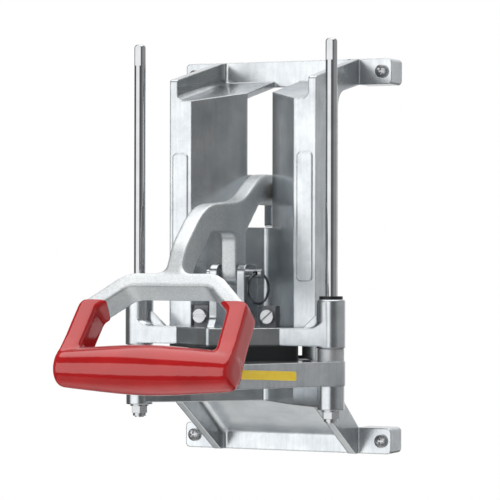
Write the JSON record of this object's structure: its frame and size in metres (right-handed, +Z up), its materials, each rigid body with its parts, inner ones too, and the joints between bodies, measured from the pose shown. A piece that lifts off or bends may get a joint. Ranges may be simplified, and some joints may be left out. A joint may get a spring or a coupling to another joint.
{
  "type": "fruit wedger",
  "caption": "Wall-mounted fruit wedger: a D-handled lever drives a pusher head down guide rods onto a frame of wedge blades.",
  "frame": {"origin": "middle of the four wall screws, on the wall plane", "axes": "+X to the right, +Y back into the wall, +Z up along the guide rods"},
  "size_m": [0.2058, 0.3309, 0.3585],
  "materials": {
    "sand_cast_aluminium": "cast, tumbled, satin",
    "turned_aluminium": "turned",
    "zinc_plated_steel": "bright plated",
    "ground_steel": "ground and polished",
    "turned_steel": "turned",
    "spring_wire": "drawn wire",
    "blade_steel": "ground",
    "bronze": "sintered",
    "black_nylon": "machined",
    "red_dip": "dipped, glossy"
  },
  "bodies": {
    "frame": {"frame_casting": "sand_cast_aluminium", "wall_screws": "zinc_plated_steel", "left_guide_rod": "ground_steel", "right_guide_rod": "ground_steel", "rod_washers": "zinc_plated_steel", "rod_nuts": "zinc_plated_steel", "rod_collars": "turned_aluminium", "blade_frame": "sand_cast_aluminium", "blade_hub": "blade_steel", "long_blades": "blade_steel", "short_blades": "blade_steel"},
    "head": {"pusher_head": "sand_cast_aluminium", "left_bushing": "black_nylon", "right_bushing": "black_nylon", "pusher_block": "black_nylon", "block_posts": "zinc_plated_steel", "block_screws": "zinc_plated_steel", "block_nuts": "zinc_plated_steel"},
    "lever": {"lever_arm": "sand_cast_aluminium", "grip_sleeve": "red_dip", "guide_pin": "turned_steel", "guide_pin_spacers": "bronze", "guide_pin_washers": "zinc_plated_steel", "guide_pin_clips": "spring_wire"},
    "pin": {"release_pin": "turned_steel"},
    "ring": {"pull_ring": "spring_wire"}
  },
  "joints": [
    {"name": "head_slide", "type": "slide", "parent": "frame", "child": "head", "axis": [0, 0, 1], "range_m": [0, 0.13]},
    {"name": "lever_pivot", "type": "hinge", "parent": "head", "child": "lever", "pos_m": [0, -0.136, -0.0145], "axis": [-1, 0, 0], "range_deg": [0, 80.01]},
    {"name": "release_pin_slide", "type": "slide", "parent": "head", "child": "pin", "axis": [1, 0, 0], "range_m": [0, 0.036]},
    {"name": "pull_ring_swing", "type": "hinge", "parent": "pin", "child": "ring", "pos_m": [0.0232, -0.136, -0.0145], "axis": [-0.309, -0.9511, 0], "range_deg": [-2, 45]}
  ],
  "couplings": [
    {"joint": "lever_pivot", "follows": "head_slide", "rad_per_m": 10.741}
  ]
}
